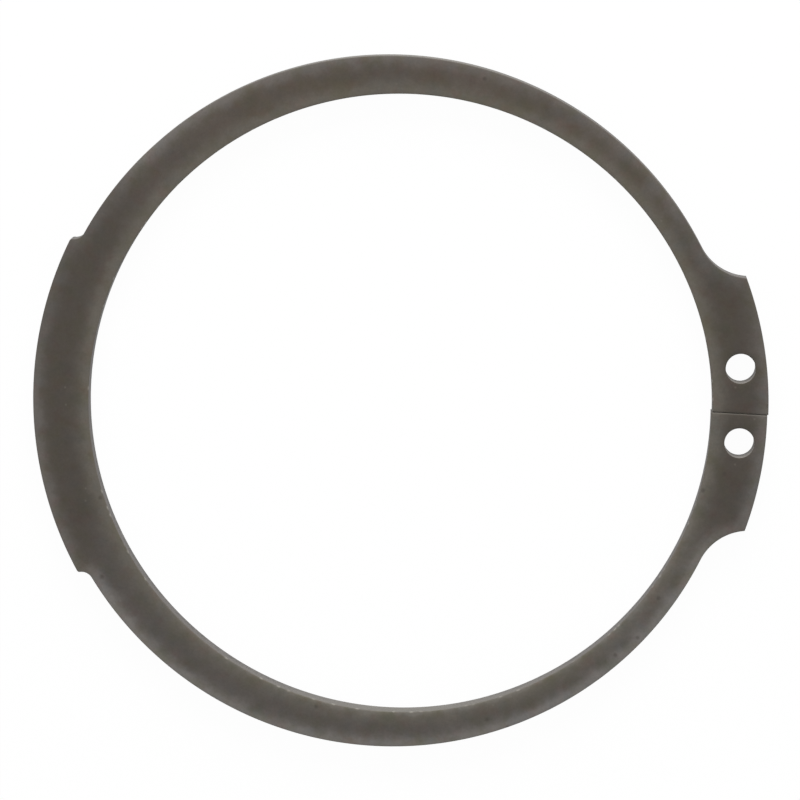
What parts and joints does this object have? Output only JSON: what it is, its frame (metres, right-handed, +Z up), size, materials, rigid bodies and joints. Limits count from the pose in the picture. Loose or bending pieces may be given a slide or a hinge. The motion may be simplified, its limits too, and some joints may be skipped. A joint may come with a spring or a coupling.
{
  "type": "circlip retaining ring",
  "caption": "External retaining ring of flat spring steel, with a tapered body, a raised bow and drilled plier lugs, sprung into a shaft groove to hold a part endwise.",
  "frame": {"origin": "axis of the round shaft that the free ring just passes, on the plane of the ring's underside", "axes": "+Z up through the ring's thickness, along the shaft; +X towards the lugs and the gap between them; +Y towards the upper lug, in the plane of the ring"},
  "size_m": [0.0988, 0.0939, 0.0028],
  "materials": {
    "phosphated_spring_steel": "dark phosphate and oil over spring steel, satin, with lighter rubbed edges"
  },
  "bodies": {
    "root": {"retaining_ring": "phosphated_spring_steel"}
  },
  "joints": []
}
